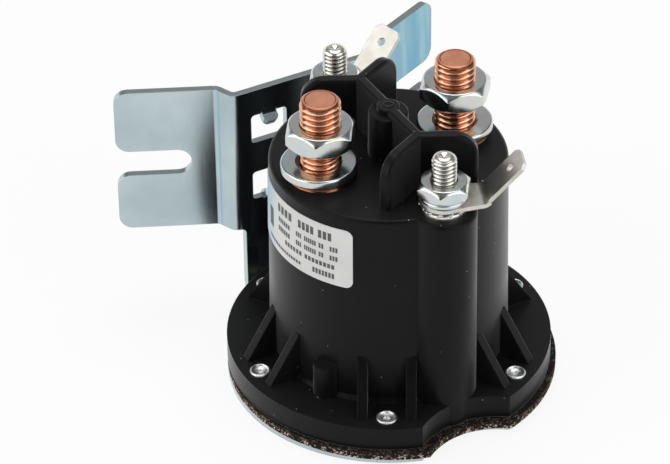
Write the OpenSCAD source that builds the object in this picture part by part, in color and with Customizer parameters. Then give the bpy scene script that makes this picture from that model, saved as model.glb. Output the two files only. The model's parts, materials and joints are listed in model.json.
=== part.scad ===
/* [Base] */
// Radius of the round flange at the foot of the cap
flange_r = 32.2; // [31.5:0.1:34]
// Thickness of the flange
flange_t = 5.1; // [4:0.1:6]
// Thickness of the folded steel sheet
sheet_t = 1.5; // [1.2:0.1:1.8]
// Thickness of the cork and rubber gasket
gasket_t = 1.7; // [1:0.1:2.2]
// How far the gasket's edge stands out past the flange
gasket_proud = 0.45; // [0:0.05:0.6]
// How far the gasket was laid off centre, to the right and to the front
gasket_shift = [0.26, -0.81];
// Radius of the hollow in the gasket's edge
gasket_scallop_r = 15.2; // [15:0.1:16]
// Radius of the hollow in the flange in front of a column
scallop_r = 16.1; // [12:0.1:20]
// Half the width of that hollow at the flange's rim
scallop_half = 9.7; // [8:0.1:11]
// Radius of the circle that the rivets stand on
rivet_circle_r = 28.8; // [28:0.1:29.2]

/* [Cap] */
// Height of the cap's top face above the underside of the base
cap_top = 50.4; // [48:0.1:54]
// Radius of the body at its top
body_top_r = 23.1; // [22.8:0.1:23.6]
// Radius of the body where it meets the flange
body_foot_r = 23.7; // [23.4:0.1:24.2]
// Radius of the cavity inside the body
cavity_r = 20.9; // [20.6:0.1:21.2]
// Thickness of the cap's roof, which holds the studs
roof_t = 3.0; // [2.6:0.1:4]
// Radius of a column that carries a coil stud, at its top
column_top_r = 6.4; // [6:0.1:7]
// Radius of a column at the flange
column_foot_r = 6.6; // [6.2:0.1:7.2]
// Rounding of the cap's top edges
cap_edge = 0.8; // [0.3:0.1:1.2]
// Thickness of a gusset rib
rib_t = 2.0; // [1.5:0.1:2.4]
// Sideways distance of a rib's middle from its rivet's radial line
rib_offset = 4.7; // [4.2:0.1:5.2]
// How far a rib climbs the body above the flange
rib_rise = 10.4; // [7:0.1:14]
// Distance of a rib's toe from the axis, along its rivet's radial line
rib_toe = 29.6; // [28:0.1:30.2]

/* [Barrier] */
// Height of the barrier's top above the underside of the base
barrier_top = 61.4; // [58:0.1:64]
// Thickness of the barrier's walls
barrier_t = 2.5; // [2:0.1:2.8]
// Distance of each fork of the barrier from the axis
fork_y = 11.2; // [10:0.1:12]
// Length of each wing of the barrier from its fork
barrier_wing = 11.5; // [9:0.1:11.8]
// Angle of the wings from the line through the power studs
barrier_turn = 27.4; // [20:0.1:35]
// Radius of the wings' outer top corners
barrier_corner = 4.6; // [3:0.1:6]
// Rounding of the barrier's edges
barrier_edge = 0.6; // [0.3:0.1:0.8]
// Radius of the round boss in the middle of the barrier
hub_r = 3.85; // [3.4:0.05:4.4]
// How far the boss stays below the barrier's top
hub_drop = 1.25; // [1:0.05:2]

/* [Power studs] */
// Distance of each power stud from the axis
large_x = 14.65; // [14.4:0.05:14.9]
// Outer diameter of the power studs' thread
large_d = 7.94; // [7.6:0.01:8]
// Height of the power studs' tips above the underside of the base
large_tip = 67.4; // [66:0.1:72]
// Radius of the copper collar on the cap
collar_r = 6.2; // [5.5:0.1:6.6]
// Height of the copper collar
collar_h = 1.4; // [1:0.1:2]
// Outer radius of the washer
large_washer_r = 7.4; // [7:0.1:7.6]
// Thickness of the washer
large_washer_t = 1.7; // [1:0.1:2]
// Width across the flats of the nut
large_nut_af = 12.5; // [12:0.1:13]
// Thickness of the nut
large_nut_t = 4.3; // [4:0.1:5]
// Height of the left nut's lower face above the underside of the base
left_nut_z = 57.7; // [56:0.1:60]
// Height of the right nut's lower face
right_nut_z = 58.5; // [56:0.1:60]

/* [Coil studs] */
// Distance of each coil stud from the axis
small_y = 21.3; // [21:0.1:21.6]
// Outer diameter of the coil studs' thread
small_d = 4.83; // [4.6:0.01:5]
// Height of the coil studs' tips above the underside of the base
small_tip = 62.5; // [61.5:0.1:66]
// Radius of the stud's round seat on the cap
seat_r = 4.3; // [4:0.1:4.8]
// Height of the seat
seat_h = 1.0; // [0.5:0.1:1.2]
// Outer radius of the toothed lock washer
tooth_r = 4.8; // [4.4:0.1:5]
// Thickness of the toothed lock washer
tooth_t = 0.8; // [0.4:0.1:0.9]
// Outer radius of the plain washer under the small nut
small_washer_r = 4.5; // [4.2:0.1:4.6]
// Thickness of that washer
small_washer_t = 0.8; // [0.5:0.1:0.9]
// Width across the flats of the small nut
small_nut_af = 9.5; // [9:0.1:10]
// Thickness of the small nut
small_nut_t = 3.2; // [2.8:0.1:3.6]

/* [Spade terminals] */
// Width of the tab
spade_w = 6.35; // [6:0.05:6.4]
// Thickness of the tab
spade_t = 0.8; // [0.7:0.05:0.9]
// Radius of the ring under the nut
spade_ring_r = 4.7; // [4.5:0.1:5]
// Distance of the bend from the stud
spade_bend_x = 6.7; // [6.5:0.1:7.5]
// Length of the tab past the bend
spade_tab = 9.9; // [8:0.1:11]
// Angle that the front tab is bent up by
spade_front_rise = 47.4; // [20:0.2:60]
// Angle that the back tab is bent up by
spade_back_rise = 45.4; // [20:0.2:60]
// Direction of the front terminal, anticlockwise from the right
spade_front_turn = -20.9; // [-30:0.1:0]
// Direction of the back terminal, anticlockwise from the right
spade_back_turn = 14.8; // [5:0.1:30]

/* [Bracket] */
// Distance of the upright plate's front face behind the axis
plate_y = 34.2; // [33.8:0.1:36]
// Half the width of the upright plate between the middles of its side bends
plate_half = 16.3; // [15.8:0.1:16.8]
// Half the width of the upright plate below the wings
lower_half = 14.0; // [13.6:0.1:14.4]
// Height of the upright plate's top
plate_top = 48.7; // [47:0.1:52]
// Height of the wings' lower edges
wing_foot = 16.2; // [12:0.1:18]
// Angle of each backward step at the plate's sides
step_angle = 68; // [60:1:72]
// Straight length of the backward step
step_run = 2.4; // [2:0.1:3]
// Angle of the wings behind the plate's plane
wing_angle = 24.8; // [20:0.2:30]
// Length of each wing past its step
wing_run = 19.8; // [18:0.1:22]
// Rounding of the wings' corners
wing_corner = 2.8; // [1:0.1:4]
// Width of the open slot in each wing
slot_w = 5.7; // [5:0.1:7]
// Depth of the open slot
slot_depth = 15.1; // [12:0.1:15.4]
// How far the slot's middle is below the wing's middle
slot_drop = 0.55; // [0:0.05:1]
// Inside radius of the sheet's bends
fold_r = 1.0; // [0.8:0.1:1.4]
// Width of a window in the plate
window_w = 7.9; // [7:0.1:8.4]
// Height of a window
window_h = 6.5; // [6:0.1:7]
// Distance of the windows' middles from the plate's middle
window_x = 8.2; // [7.5:0.1:9]
// Heights of the middles of the lower and upper windows
window_z = [26.0, 39.6];
// Width of the tongue in each window
tongue_w = 3.2; // [2.4:0.1:3.4]

/* [Label] */
// Height of the label's lower edge
label_foot = 34.4; // [30:0.1:36]
// Height of the label
label_h = 13.1; // [10:0.1:14]
// Direction of the label's middle, anticlockwise from the right
label_middle = 187; // [180:1:195]
// Angle that the label covers
label_angle = 74; // [60:1:80]
// Thickness of the label
label_t = 0.15; // [0.1:0.05:0.2]

/* [Coil and plunger] */
// Distance that the plunger travels
plunger_travel = 3.0; // [2:0.1:3]
// Distance from the contact bridge to the stud heads at rest
contact_gap = 2.4; // [2:0.1:2.6]
// Radius of the plunger
plunger_r = 5.98; // [5.96:0.01:6]
// Outer radius of the steel can round the coil
can_r = 20.5; // [20:0.1:20.5]
// Height of the can's top above the underside of the base
can_top = 34.0; // [32:0.1:34]
// Radius of the push rod
rod_r = 2.0; // [1.8:0.1:2]

/* [Hidden] */
$fn = 72;
plate_z = sheet_t;
flange_z = sheet_t + gasket_t;
flange_top = flange_z + flange_t;
roof_z = cap_top - roof_t;
large_r = large_d / 2;
small_r = small_d / 2;
fit = 0.02;
rivet_count = 6;
rivet_r = 1.5;
rivet_bore_r = 1.1;
rivet_head_r = 2.05;
rivet_head_h = 0.7;
rivet_flare_r = 2.3;
scallop_rim_y = sqrt(flange_r * flange_r - scallop_half * scallop_half);
scallop_sag = scallop_r - sqrt(scallop_r * scallop_r - scallop_half * scallop_half);
scallop_y = scallop_rim_y - scallop_sag + scallop_r;
gasket_hole_r = 21.2;
rib_root = 20;
toe_angle = 210;
toe_r = 2.35;
toe_x = 23.9;
toe_h = 7.1;
foot_fillet = 0.7;
hub_pin_r = 2.2;
gate_r = 1.05;
gate_wall = 0.3;
gate_rise = 0.12;
chamber_r = 19.4;
column_well_r = 3.4;
column_well_top = 36;
column_wall_r = 3.9;
large_neck_r = 4.9;
large_head_r = 5.6;
large_head_t = 2.95;
head_pocket_r = large_head_r + 0.2;
large_washer_bore = 4.42;
left_washer_shift = [-0.36, 0.19];
large_chamfer = 1.05;
groove_depth = 0.25;
groove_h = 0.62;
small_tail_r = 1.9;
small_tail_z = can_top + 0.2;
small_dome = 1.3;
seat_z = cap_top + seat_h;
spade_z = seat_z + tooth_t;
small_washer_z = spade_z + spade_t;
small_nut_z = small_washer_z + small_washer_t;
tooth_count = 14;
tooth_root_r = 3.9;
tooth_bore_r = small_r + 0.1;
spade_fold_r = 1.6;
spade_neck = 7.4;
spade_hole_r = 0.85;
spade_hole_back = 3.2;
spade_chamfer = 1.0;
fold_start = plate_half - (fold_r + sheet_t) * tan(step_angle / 2);
wing_h = plate_top - wing_foot;
tongue_angle = 55;
tongue_run = 1.3;
tongue_fold = 1.5;
tongue_root = 0.3;
tongue_lift = 0.75;
tongue_corner = 1.2;
bend_steps = 12;
notch_r = 1.2;
fold_back_y = 30;
window_edge = 0.8;
label_corner = 1.6;
label_gap = 0.01;
pad_t = 0.7;
can_wall = 1.4;
can_roof = 1.8;
bobbin_z = plate_z + pad_t;
bobbin_top = can_top - can_roof;
bobbin_flange = 1.3;
bobbin_bore = plunger_r + 0.07;
bobbin_tube = bobbin_bore + 1.3;
bobbin_r = 18.8;
winding_r = 17.6;
wire_pitch = 0.96;
lead_y = 17.0;
lead_r = 0.55;
lead_top = can_top + 0.9;
stop_t = 0.8;
plunger_foot = plate_z + stop_t;
plunger_head = 21.5;
core_foot = plunger_head + plunger_travel + 0.05;
core_r = 6.0;
spring_pocket_r = 4.3;
spring_pocket = 4.6;
spring_r = 3.35;
bridge_z = roof_z - large_head_t - contact_gap - 0.05 - 2;
bridge_t = 2;
bridge_r = 16.4;
bush_flange = 1.0;
bush_r = 4.6;
bush_spigot = 3.2;
bush_bore = rod_r + 0.06;
collar_z = can_top + 0.5;
collar_t = 0.9;
clip_z = bridge_z + bridge_t + 0.8;
clip_t = 0.5;
rod_foot = 10;
rod_top = clip_z + clip_t + 0.7;
rod_groove_r = 1.5;

// Points of an arc round a centre, from one angle to another
function arc_points(centre, r, from, to, steps) =
    [for (i = [0 : steps]) centre + r * [cos(from + (to - from) * i / steps),
        sin(from + (to - from) * i / steps)]];

// Radius of the tapering body at a height
function body_radius(z) =
    body_foot_r + (body_top_r - body_foot_r) * (z - flange_z) / (cap_top - flange_z);

// A tapering round post with a rounded top edge
module rounded_post(foot_r, top_r, z0, z1, edge) {
    rotate_extrude()
        polygon(concat([[0, z0], [foot_r, z0]],
            arc_points([top_r - edge, z1 - edge], edge, 0, 90, 5), [[0, z1]]));
}

// Everything at both coil studs, front and back
module both_ends() {
    children();
    rotate(180) children();
}

// Hollow in front of a column, through the whole height
module scallop(depth, r = scallop_r) {
    translate([0, -scallop_y, -1]) cylinder(r = r, h = depth + 2, $fn = 120);
}

// Both faces of a folded strip, from a start point and a list of [length, turn, inside radius]
function fold_ends(list, thick, at, heading, k = 0) =
    k >= len(list) ? [] :
    let (run = list[k][0], turn = list[k][1], r = list[k][2] + (turn > 0 ? thick : 0),
        end = at + run * [cos(heading), sin(heading)],
        side = turn > 0 ? 1 : -1,
        centre = end + side * r * [-sin(heading), cos(heading)],
        next = centre - side * r * [-sin(heading + turn), cos(heading + turn)])
    concat([[centre, side, heading, turn, list[k][2], end]],
        fold_ends(list, thick, next, heading + turn, k + 1));

// Points of a strip's right face (level 0) or left face (level 1) along its folds
function fold_face(ends, thick, level) =
    [for (e = ends) each
        e[3] == 0 ? [e[5] + level * thick * [-sin(e[2]), cos(e[2])]] :
        let (r = e[1] > 0 ? e[4] + (1 - level) * thick : e[4] + level * thick)
        [for (i = [0 : bend_steps]) let (h = e[2] + e[3] * i / bend_steps)
            e[0] - e[1] * r * [-sin(h), cos(h)]]];

// Reversed copy of a list of points
function reversed(points) = [for (i = [len(points) - 1 : -1 : 0]) points[i]];

// Outline of a folded strip that starts along +X, its left face on the inside of positive turns
function strip(list, thick) =
    let (ends = fold_ends(list, thick, [0, 0], 0))
    concat([[0, 0]], fold_face(ends, thick, 0), reversed(fold_face(ends, thick, 1)), [[0, thick]]);

// Step and wing at the plate's right side, seen from above
function wing_strip() = strip([[fold_start, step_angle, fold_r],
    [step_run, wing_angle - step_angle, fold_r], [wing_run, 0, 0]], sheet_t);

// Places its children in the wing's plane, X along it from its bend and Y across it
module on_wing() {
    ends = fold_ends([[fold_start, step_angle, fold_r],
        [step_run, wing_angle - step_angle, fold_r]], sheet_t, [0, plate_y], 0);
    last = ends[1];
    start = last[0] - last[1] * fold_r * [-sin(wing_angle), cos(wing_angle)];
    translate([start[0], start[1], wing_foot]) rotate(wing_angle) children();
}

// What is cut from a wing: its open slot and its corners
module wing_cut() {
    on_wing() rotate([90, 0, 0]) translate([0, 0, -sheet_t - 1]) linear_extrude(sheet_t + 2) {
        translate([wing_run - slot_depth + slot_w / 2, wing_h / 2 - slot_drop]) {
            circle(slot_w / 2);
            translate([0, -slot_w / 2]) square([slot_depth, slot_w]);
        }
        for (side = [-1, 1]) {
            corner_cut(wing_h / 2 + side * wing_h / 2, -side);
            corner_cut(wing_h / 2 - slot_drop + side * slot_w / 2, side);
        }
    }
}

// What rounds one corner at a wing's tip, the arm lying on the given side of the height
module corner_cut(height, side) {
    translate([wing_run - wing_corner, height]) difference() {
        translate([0, side > 0 ? -1 : -wing_corner]) square([wing_corner + 1, wing_corner + 1]);
        translate([0, side * wing_corner]) circle(wing_corner);
    }
}

// Upper part of the plate with a step and a wing at each side
module wing_zone() {
    half = wing_strip();
    difference() {
        translate([0, plate_y, wing_foot - notch_r]) linear_extrude(wing_h + notch_r)
            polygon(concat([for (i = [1 : len(half) - 2]) half[i]],
                [for (i = [len(half) - 2 : -1 : 1]) [-half[i][0], half[i][1]]]));
        wing_foot_cut();
        mirror([1, 0, 0]) wing_foot_cut();
    }
}

// What is cut from under a wing, with a rounded inner corner at the plate's side
module wing_foot_cut() {
    translate([lower_half, plate_y - 1, wing_foot]) rotate([-90, 0, 0]) linear_extrude(20)
        polygon(concat([[0, notch_r + 1]], arc_points([notch_r, notch_r], notch_r, 180, 270, 6),
            [[30, 0], [30, notch_r + 1]]));
}

// A window's opening through the plate
module window(x, z) {
    translate([x, plate_y - 1, z]) rotate([-90, 0, 0]) linear_extrude(sheet_t + 2)
        difference() {
            square([window_w, window_h], center = true);
            for (sx = [-1, 1], sy = [-1, 1])
                translate([sx * window_w / 2, sy * window_h / 2]) scale([-sx, -sy])
                    difference() {
                        square(window_edge);
                        translate([window_edge, window_edge]) circle(window_edge);
                    }
        }
}

// The tongue that leans forward from a window's top edge
module tongue() {
    rotate([0, 90, 0]) translate([-tongue_lift, 0, -tongue_w / 2]) difference() {
        linear_extrude(tongue_w) translate([-tongue_root, 0])
            polygon(strip([[tongue_root, -tongue_angle, tongue_fold], [tongue_run, 0, 0]],
                sheet_t));
        translate([0, -tongue_fold, 0]) rotate(-tongue_angle)
            translate([tongue_run, tongue_fold - 1, tongue_w / 2]) rotate([-90, 0, 0])
                for (side = [-1, 1]) tongue_corner_cut(side);
    }
}

// What rounds one corner at a tongue's tip
module tongue_corner_cut(side) {
    translate([-tongue_corner, side * (tongue_w / 2 - tongue_corner), 0]) difference() {
        translate([0, side > 0 ? 0 : -tongue_corner - 1, 0])
            cube([tongue_corner + 1, tongue_corner + 1, sheet_t + 2]);
        translate([0, 0, -1]) cylinder(r = tongue_corner + 0.05, h = sheet_t + 4);
    }
}

// Folded sheet with base disc, upright plate, windows, tongues and wings
module bracket() {
    color("#AFC0C4") {
        base_disc();
        base_fold();
        difference() {
            union() {
                wing_zone();
                translate([-lower_half, plate_y, wing_foot - 3])
                    cube([2 * lower_half, sheet_t, 4]);
            }
            wing_cut();
            mirror([1, 0, 0]) wing_cut();
            for (x = [-window_x, window_x], z = window_z) window(x, z);
        }
        for (x = [-window_x, window_x]) {
            translate([x, plate_y, window_z[1] + window_h / 2]) tongue();
            translate([x, plate_y, window_z[0] - window_h / 2]) mirror([0, 0, 1]) tongue();
        }
    }
}

// Flat disc under the gasket, with holes flared for the rivets
module base_disc() {
    difference() {
        cylinder(r = flange_r, h = sheet_t, $fn = 120);
        scallop(sheet_t);
        at_rivets() {
            translate([0, 0, -1]) cylinder(r = rivet_r + fit, h = sheet_t + 2);
            translate([0, 0, -fit])
                cylinder(r1 = rivet_flare_r + fit, r2 = rivet_r + fit, h = rivet_flare_r - rivet_r);
        }
    }
}

// Bend from the base disc up to the plate, and the plate below the wings
module base_fold() {
    flat = plate_y - fold_r - fold_back_y;
    translate([-lower_half, fold_back_y, 0]) rotate([90, 0, 90]) linear_extrude(2 * lower_half)
        polygon(strip([[flat, 90, fold_r], [wing_foot - sheet_t - fold_r, 0, 0]], sheet_t));
}

// Places its children at each rivet
module at_rivets() {
    for (i = [0 : rivet_count - 1])
        rotate(i * 360 / rivet_count) translate([rivet_circle_r, 0, 0]) children();
}

// Cork and rubber sheet, a little larger than the flange and laid off centre
module gasket() {
    color("#3A2E26") translate([0, 0, plate_z]) difference() {
        translate([gasket_shift[0], gasket_shift[1], 0]) difference() {
            cylinder(r = flange_r + gasket_proud, h = gasket_t, $fn = 120);
            both_ends() scallop(gasket_t, gasket_scallop_r);
        }
        translate([0, 0, -1]) cylinder(r = gasket_hole_r, h = gasket_t + 2);
        at_rivets() translate([0, 0, -1]) cylinder(r = rivet_r + fit, h = gasket_t + 2);
    }
}

// One moulding: body, columns, flange, ribs, barrier and boss
module cap() {
    color("#1C1B1B") {
        difference() {
            union() {
                cap_flange();
                rounded_post(body_foot_r, body_top_r, flange_z, cap_top, cap_edge);
                both_ends() translate([0, -small_y, 0])
                    rounded_post(column_foot_r, column_top_r, flange_z, cap_top, cap_edge);
                foot_fillets();
                for (i = [0 : rivet_count - 1], side = [-1, 1])
                    rotate(i * 360 / rivet_count) rib(side);
                body_toe();
                hub_boss();
            }
            cap_cavity();
            stud_holes();
        }
        barrier();
        both_ends() column_inner_wall();
    }
}

// Flange with its rivet holes and the hollow in front of each column
module cap_flange() {
    difference() {
        translate([0, 0, flange_z]) cylinder(r = flange_r, h = flange_t, $fn = 120);
        both_ends() translate([0, 0, flange_z]) scallop(flange_t);
        at_rivets() translate([0, 0, flange_z - 1])
            cylinder(r = rivet_r + fit, h = flange_t + 2);
    }
}

// Small sloping fillet where the body and the columns meet the flange
module foot_fillets() {
    translate([0, 0, flange_top]) cylinder(r1 = body_foot_r + foot_fillet,
        r2 = body_radius(flange_top + foot_fillet), h = foot_fillet);
}

// Triangular gusset beside a rivet
module rib(side) {
    translate([0, side * rib_offset + rib_t / 2, flange_top - 0.5]) rotate([90, 0, 0])
        linear_extrude(rib_t)
            polygon([[rib_root + 2, 0], [rib_toe, 0], [rib_toe, 0.7],
                [body_top_r, rib_rise + 0.5], [rib_root + 2, rib_rise + 0.5]]);
}

// Half-round boss against the foot of the body
module body_toe() {
    rotate(toe_angle) translate([toe_x, 0, flange_top - 0.5])
        cylinder(r1 = toe_r + 0.1, r2 = toe_r, h = toe_h + 0.5);
}

// Round boss in the middle of the barrier, its pin up to the barrier's top and the gate's mark
module hub_boss() {
    rounded_post(hub_r + 0.1, hub_r, cap_top - 1, barrier_top - hub_drop, 0.3);
    rounded_post(hub_pin_r, hub_pin_r, barrier_top - hub_drop - 1, barrier_top, 0.2);
    translate([0, 0, barrier_top - 0.5]) difference() {
        cylinder(r = gate_r, h = 0.5 + gate_rise);
        cylinder(r = gate_r - gate_wall, h = 1);
    }
}

// Space for the coil, the contacts and the stud heads, and the wells in the columns
module cap_cavity() {
    translate([0, 0, flange_z - 1]) cylinder(r = cavity_r, h = can_top - flange_z + 1);
    cylinder(r = chamber_r, h = roof_z);
    for (x = [-large_x, large_x]) translate([x, 0, can_top - 1])
        cylinder(r = head_pocket_r, h = roof_z - can_top + 1);
    both_ends() translate([0, -small_y, flange_z - 1])
        cylinder(r = column_well_r, h = column_well_top - flange_z + 1);
}

// Holes that the studs are moulded into
module stud_holes() {
    for (x = [-large_x, large_x]) translate([x, 0, roof_z - 1])
        cylinder(r = large_neck_r + fit, h = roof_t + 2);
    both_ends() translate([0, -small_y, column_well_top - 1])
        cylinder(r = small_tail_r + fit, h = cap_top - column_well_top + 2);
}

// Wall that keeps a coil stud's tail apart from the contacts
module column_inner_wall() {
    difference() {
        intersection() {
            translate([0, -small_y, column_well_top])
                cylinder(r = column_wall_r, h = roof_z - column_well_top + 0.5);
            translate([0, 0, column_well_top - 1]) cylinder(r = chamber_r + 0.5, h = roof_t + 12);
        }
        translate([0, -small_y, column_well_top - 1])
            cylinder(r = small_tail_r + fit, h = cap_top - column_well_top + 2);
    }
}

// Side outline of a barrier wall, its outer top corner rounded
module barrier_outline(run, inset, corner) {
    polygon(concat([[0, 0], [run - inset, 0]],
        arc_points([run - corner, barrier_top - cap_top + 1 - corner], corner - inset, 0, 90, 8),
        [[0, barrier_top - cap_top + 1 - inset]]));
}

// A barrier wall that runs out along +X, with softened edges
module barrier_wall(run, corner) {
    hull() for (k = [[0, 1], [0.3, 0.4], [1, 0]]) {
        wall = barrier_t - 2 * barrier_edge * k[1];
        translate([0, wall / 2, cap_top - 1]) rotate([90, 0, 0])
            linear_extrude(wall) barrier_outline(run, barrier_edge * k[0], corner);
    }
}

// Double-Y barrier between the studs
module barrier() {
    translate([0, -fork_y, 0]) rotate(90) barrier_wall(2 * fork_y, barrier_edge + 0.1);
    both_ends() for (angle = [barrier_turn - 180, -barrier_turn])
        translate([0, -fork_y, 0]) rotate(angle) barrier_wall(barrier_wing, barrier_corner);
}

// Adhesive label that follows the tapering body
module label() {
    color("#E9EBEB") difference() {
        rotate(label_middle - label_angle / 2) rotate_extrude(angle = label_angle, $fn = 180)
            polygon([[label_inner(label_foot), label_foot],
                [label_inner(label_foot) + label_t, label_foot],
                [label_inner(label_foot + label_h) + label_t, label_foot + label_h],
                [label_inner(label_foot + label_h), label_foot + label_h]]);
        for (side = [-1, 1], top = [0, 1]) label_corner_cut(side, top);
    }
}

// Radius of the label's inner face at a height
function label_inner(z) = body_radius(z) + label_gap;

// What rounds a corner of the label
module label_corner_cut(side, top) {
    edge_angle = label_middle + side * label_angle / 2;
    corner_angle = label_corner / body_foot_r * 180 / PI;
    rotate(edge_angle - side * corner_angle)
        translate([body_top_r - 3, 0, label_foot + (top ? label_h - label_corner : label_corner)])
            rotate([90, 0, 90]) linear_extrude(7) scale([side, top ? 1 : -1]) difference() {
                square(label_corner + 1);
                circle(label_corner);
            }
}

// Hollow rivet: rolled head on the flange, flared end in the base disc
module rivet(i) {
    flare = rivet_flare_r - rivet_r;
    color("#C3CBCC") rotate((i - 1) * 360 / rivet_count) translate([rivet_circle_r, 0, 0])
        rotate_extrude() polygon(concat([[rivet_bore_r, flare], [rivet_bore_r + flare, 0],
            [rivet_flare_r, 0], [rivet_r, flare], [rivet_r, flange_top],
            [rivet_head_r, flange_top]],
            arc_points([rivet_head_r - 0.35, flange_top + rivet_head_h - 0.35], 0.35, 0, 90, 4),
            arc_points([rivet_bore_r + 0.35, flange_top + rivet_head_h - 0.35], 0.35, 90, 180, 4)));
}

// Groove hidden in the nut's mouth, between the thread that the nut holds and the free end above
function free_end_groove(r, nut_top) =
    [[r, nut_top - groove_h], [r - groove_depth, nut_top - groove_h + 0.12],
        [r - groove_depth, nut_top - 0.1], [r, nut_top + fit]];

// Copper power stud with collar, moulded-in neck and contact head
module large_stud(x, nut_top) {
    color("#C9825B") translate([x, 0, 0]) rotate_extrude()
        polygon(concat([[0, roof_z - large_head_t], [large_head_r - 0.5, roof_z - large_head_t],
            [large_head_r, roof_z - large_head_t + 0.5], [large_head_r, roof_z],
            [large_neck_r, roof_z], [large_neck_r, cap_top], [collar_r, cap_top],
            [collar_r, cap_top + collar_h], [large_r, cap_top + collar_h]],
            free_end_groove(large_r, nut_top),
            [[large_r, large_tip - large_chamfer], [large_r - large_chamfer, large_tip],
            [0, large_tip]]));
}

// Flat washer with softened edges
module flat_washer(r, bore, thick, edge) {
    rotate_extrude() polygon([[bore, 0], [r - edge, 0], [r, edge], [r, thick - edge],
        [r - edge, thick], [bore, thick]]);
}

// Zinc-plated washer on the copper collar, which can lie off centre
module large_washer(x, shift) {
    color("#BFC7C8") translate([x + shift[0], shift[1], cap_top + collar_h])
        flat_washer(large_washer_r, large_washer_bore, large_washer_t, 0.3);
}

// Hex nut with both faces chamfered to a circle
module hex_nut(af, thick, bore_r, top_r) {
    corner_r = af / 2 / cos(30);
    drop = (corner_r - top_r) * tan(30);
    difference() {
        intersection() {
            cylinder(r = corner_r, h = thick, $fn = 6);
            rotate_extrude() polygon([[0, 0], [top_r, 0], [corner_r, drop],
                [corner_r, thick - drop], [top_r, thick], [0, thick]]);
        }
        translate([0, 0, -1]) cylinder(r = bore_r, h = thick + 2);
        translate([0, 0, thick - 0.35])
            cylinder(r1 = bore_r, r2 = bore_r + 0.5, h = 0.5);
    }
}

// Nut on a power stud
module large_nut(x, z, turn) {
    color("#C3CACB") translate([x, 0, z]) rotate(turn)
        hex_nut(large_nut_af, large_nut_t, large_r + fit, large_nut_af / 2 - 0.2);
}

// Plated coil stud with its round seat, and a tail inside the column
module small_stud() {
    color("#B9BEBC") translate([0, -small_y, 0]) difference() {
        rotate_extrude() polygon(concat([[0, small_tail_z], [small_tail_r, small_tail_z],
            [small_tail_r, cap_top], [seat_r, cap_top], [seat_r, seat_z - 0.15],
            [seat_r - 0.15, seat_z], [small_r, seat_z]],
            free_end_groove(small_r, small_nut_z + small_nut_t),
            arc_points([small_r - small_dome, small_tip - small_dome], small_dome, 0, 90, 5),
            [[0, small_tip]]));
        translate([0, 0, small_tip - 0.5]) cylinder(r1 = 0.2, r2 = 0.9, h = 0.6);
    }
}

// Lock washer with twisted teeth round its rim
module tooth_washer() {
    color("#C9CCC8") translate([0, -small_y, seat_z]) difference() {
        union() {
            cylinder(r = tooth_root_r, h = tooth_t);
            for (i = [0 : tooth_count - 1]) rotate(i * 360 / tooth_count)
                translate([tooth_root_r - 0.4, -0.5, 0]) cube([tooth_r - tooth_root_r + 0.4, 1, tooth_t]);
        }
        translate([0, 0, -1]) cylinder(r = tooth_bore_r, h = tooth_t + 2);
    }
}

// Outline of the flat ring that narrows to the neck at the bend
module spade_flat() {
    difference() {
        union() {
            circle(spade_ring_r);
            polygon([[1.5, -4.4], [spade_bend_x, -spade_neck / 2],
                [spade_bend_x, spade_neck / 2], [1.5, 4.4]]);
        }
        circle(small_r + 0.15);
    }
}

// What is cut from the tab past the bend: its shoulders, tip corners and small hole
module spade_cut() {
    for (side = [-1, 1]) {
        translate([0, side > 0 ? spade_w / 2 : -spade_w / 2 - 2]) square([spade_tab + 1, 2]);
        translate([spade_tab, side * spade_w / 2]) rotate(45)
            square(spade_chamfer * sqrt(2), center = true);
    }
    translate([spade_tab - spade_hole_back, 0]) circle(spade_hole_r);
}

// Ring, bend and raised tab of one spade terminal
module spade_terminal(turn, rise) {
    start = spade_ring_r - 0.6;
    color("#DAD8CC") rotate(turn) {
        linear_extrude(spade_t) spade_flat();
        difference() {
            translate([start, spade_neck / 2, 0]) rotate([90, 0, 0]) linear_extrude(spade_neck)
                polygon(strip([[spade_bend_x - start, rise, spade_fold_r], [spade_tab, 0, 0]],
                    spade_t));
            translate([spade_bend_x, 0, spade_t + spade_fold_r]) rotate([0, -rise, 0])
                translate([0, 0, -spade_t - spade_fold_r - 1]) linear_extrude(spade_t + 2)
                    spade_cut();
        }
    }
}

// Plain washer under the nut of a coil stud
module small_washer() {
    color("#BFC7C8") translate([0, -small_y, small_washer_z])
        flat_washer(small_washer_r, small_r + 0.1, small_washer_t, 0.15);
}

// Nut on a coil stud
module small_nut(turn) {
    color("#C3CACB") translate([0, -small_y, small_nut_z]) rotate(turn)
        hex_nut(small_nut_af, small_nut_t, small_r + fit, small_nut_af / 2 - 0.4);
}

// Steel cup over the coil, notched for the two coil leads
module coil_can() {
    color("#8E9496") difference() {
        translate([0, 0, plate_z]) cylinder(r = can_r, h = can_top - plate_z);
        translate([0, 0, plate_z - 1])
            cylinder(r = can_r - can_wall, h = can_top - can_roof - plate_z + 1);
        translate([0, 0, can_top - can_roof - 1]) cylinder(r = core_r + fit, h = can_roof + 2);
        both_ends() translate([-1.6, -can_r - 1, can_top - can_roof - 5])
            cube([3.2, can_r + 1 - lead_y + 1.5, can_roof + 6]);
    }
}

// Pole piece in the can's roof, bored for the push rod
module fixed_core() {
    color("#9BA1A3") difference() {
        translate([0, 0, core_foot]) cylinder(r = core_r, h = can_top - core_foot);
        translate([0, 0, core_foot - 1]) cylinder(r = spring_pocket_r, h = spring_pocket + 1);
        translate([0, 0, core_foot]) cylinder(r = bush_bore, h = can_top);
    }
}

// Springy pad that holds the bobbin up against the can
module coil_pad() {
    color("#4A4A48") translate([0, 0, plate_z]) difference() {
        cylinder(r = bobbin_r - 0.6, h = pad_t);
        translate([0, 0, -1]) cylinder(r = bobbin_tube, h = pad_t + 2);
    }
}

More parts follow.
